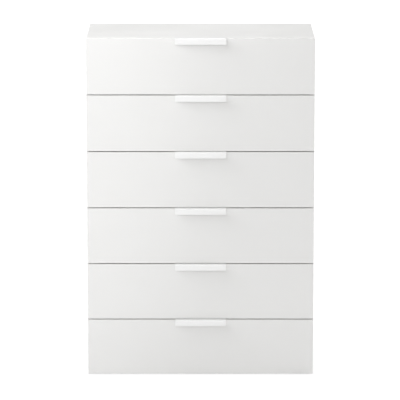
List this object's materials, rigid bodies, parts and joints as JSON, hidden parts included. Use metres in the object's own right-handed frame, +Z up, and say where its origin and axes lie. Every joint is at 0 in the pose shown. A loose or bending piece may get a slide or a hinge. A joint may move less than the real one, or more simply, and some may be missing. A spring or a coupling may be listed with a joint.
{
  "type": "tall chest of drawers",
  "caption": "Tall white chest of full-width drawers on roller runners, each pulled by a folded strip handle over the top edge of its flat front.",
  "frame": {"origin": "on the floor, in the middle of the bounding box's footprint", "axes": "+Z up, the drawer fronts face -Y and the drawers open along -Y, +X to the right as seen from the front"},
  "size_m": [0.8, 0.43, 1.2118],
  "materials": {
    "front_board": "white melamine-faced chipboard, satin",
    "carcass_board": "white melamine-faced chipboard, satin",
    "drawer_board": "white foil-wrapped chipboard",
    "hardboard": "white-painted hardboard",
    "handle_metal": "white powder coat, satin",
    "runner_steel": "white epoxy coat",
    "glide_plastic": "moulded, matt",
    "roller_plastic": "moulded nylon",
    "screw_steel": "zinc-plated"
  },
  "bodies": {
    "carcass": {"top_panel": "carcass_board", "left_side": "carcass_board", "right_side": "carcass_board", "bottom_panel": "carcass_board", "plinth_rail": "carcass_board", "rear_stretcher": "carcass_board", "back_panel_lower": "hardboard", "back_panel_upper": "hardboard", "glide_front_left": "glide_plastic", "glide_rear_left": "glide_plastic", "glide_front_right": "glide_plastic", "glide_rear_right": "glide_plastic", "runner_1_left": "runner_steel", "runner_1_right": "runner_steel", "runner_2_left": "runner_steel", "runner_2_right": "runner_steel", "runner_3_left": "runner_steel", "runner_3_right": "runner_steel", "runner_4_left": "runner_steel", "runner_4_right": "runner_steel", "runner_5_left": "runner_steel", "runner_5_right": "runner_steel", "runner_6_left": "runner_steel", "runner_6_right": "runner_steel"},
    "drawer_1": {"drawer_1_front": "front_board", "drawer_1_handle": "handle_metal", "drawer_1_back": "drawer_board", "drawer_1_bottom": "hardboard", "drawer_1_side_left": "drawer_board", "drawer_1_side_right": "drawer_board"},
    "drawer_2": {"drawer_2_front": "front_board", "drawer_2_handle": "handle_metal", "drawer_2_back": "drawer_board", "drawer_2_bottom": "hardboard", "drawer_2_side_left": "drawer_board", "drawer_2_side_right": "drawer_board"},
    "drawer_3": {"drawer_3_front": "front_board", "drawer_3_handle": "handle_metal", "drawer_3_back": "drawer_board", "drawer_3_bottom": "hardboard", "drawer_3_side_left": "drawer_board", "drawer_3_side_right": "drawer_board"},
    "drawer_4": {"drawer_4_front": "front_board", "drawer_4_handle": "handle_metal", "drawer_4_back": "drawer_board", "drawer_4_bottom": "hardboard", "drawer_4_side_left": "drawer_board", "drawer_4_side_right": "drawer_board"},
    "drawer_5": {"drawer_5_front": "front_board", "drawer_5_handle": "handle_metal", "drawer_5_back": "drawer_board", "drawer_5_bottom": "hardboard", "drawer_5_side_left": "drawer_board", "drawer_5_side_right": "drawer_board"},
    "drawer_6": {"drawer_6_front": "front_board", "drawer_6_handle": "handle_metal", "drawer_6_back": "drawer_board", "drawer_6_bottom": "hardboard", "drawer_6_side_left": "drawer_board", "drawer_6_side_right": "drawer_board"}
  },
  "joints": [
    {"name": "drawer_1_slide", "type": "slide", "parent": "carcass", "child": "drawer_1", "axis": [0, -1, 0], "range_m": [0, 0.26]},
    {"name": "drawer_2_slide", "type": "slide", "parent": "carcass", "child": "drawer_2", "axis": [0, -1, 0], "range_m": [0, 0.26]},
    {"name": "drawer_3_slide", "type": "slide", "parent": "carcass", "child": "drawer_3", "axis": [0, -1, 0], "range_m": [0, 0.26]},
    {"name": "drawer_4_slide", "type": "slide", "parent": "carcass", "child": "drawer_4", "axis": [0, -1, 0], "range_m": [0, 0.26]},
    {"name": "drawer_5_slide", "type": "slide", "parent": "carcass", "child": "drawer_5", "axis": [0, -1, 0], "range_m": [0, 0.26]},
    {"name": "drawer_6_slide", "type": "slide", "parent": "carcass", "child": "drawer_6", "axis": [0, -1, 0], "range_m": [0, 0.26]}
  ]
}
